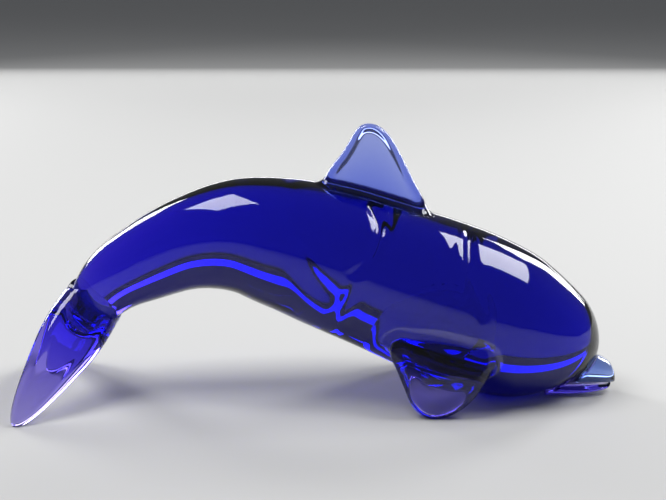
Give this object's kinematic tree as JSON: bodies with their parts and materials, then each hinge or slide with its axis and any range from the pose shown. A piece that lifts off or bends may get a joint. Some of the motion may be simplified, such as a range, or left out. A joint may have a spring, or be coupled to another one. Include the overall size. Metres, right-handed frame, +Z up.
{
  "type": "glass dolphin figurine",
  "caption": "Solid blue glass dolphin figurine, arched body with fused fin, flippers, flukes and beak, resting on its chin, flippers and flukes.",
  "frame": {"origin": "centre of the bounding box's bottom face, on the table under the middle of the arch", "axes": "+X from the tail to the beak, +Y to the dolphin's left, +Z up from the table"},
  "size_m": [0.1641, 0.0548, 0.076],
  "materials": {
    "cobalt_glass": "fire-polished solid cobalt glass, nearly black-blue where thick and bright violet-blue where thin",
    "thin_glass": "fire-polished thin cobalt glass, see-through dark blue with a deeper rim",
    "pale_glass": "fire-polished pale grey-blue glass, thin and see-through"
  },
  "bodies": {
    "root": {"body": "cobalt_glass", "dorsal_fin": "thin_glass", "flipper_right": "cobalt_glass", "flipper_left": "cobalt_glass", "tail_fluke_right": "cobalt_glass", "tail_fluke_left": "cobalt_glass", "beak_upper": "pale_glass", "beak_lower": "cobalt_glass"}
  },
  "joints": []
}
